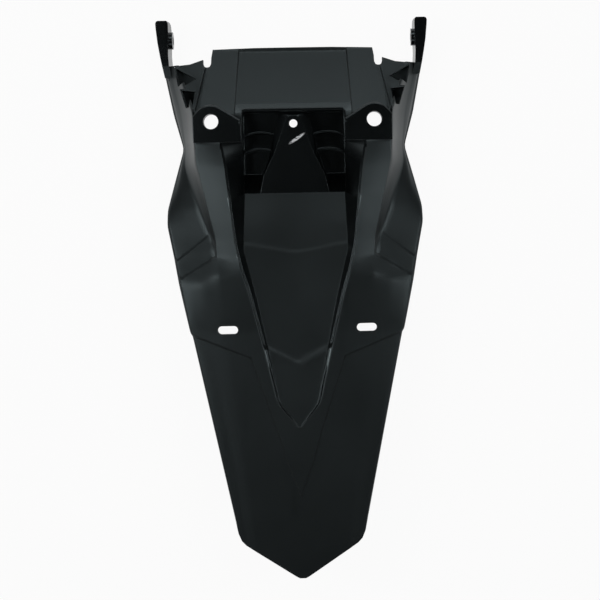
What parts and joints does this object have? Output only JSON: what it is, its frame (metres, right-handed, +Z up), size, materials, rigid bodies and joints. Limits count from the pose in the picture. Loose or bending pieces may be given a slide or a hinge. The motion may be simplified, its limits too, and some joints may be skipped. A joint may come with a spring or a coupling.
{
  "type": "motorcycle rear fender",
  "caption": "One-piece moulded rear fender of an off-road motorcycle, with side wings, a seat channel, two bolt pads and two forward arms.",
  "frame": {"origin": "midway between the two main bolt holes, on the top of their pads", "axes": "+Z up along the main bolts, +Y forward towards the arms, +X to the right"},
  "size_m": [0.278, 0.563, 0.0911],
  "materials": {
    "fender": "satin black moulded polypropylene, fine grain"
  },
  "bodies": {
    "root": {"fender": "fender"}
  },
  "joints": []
}
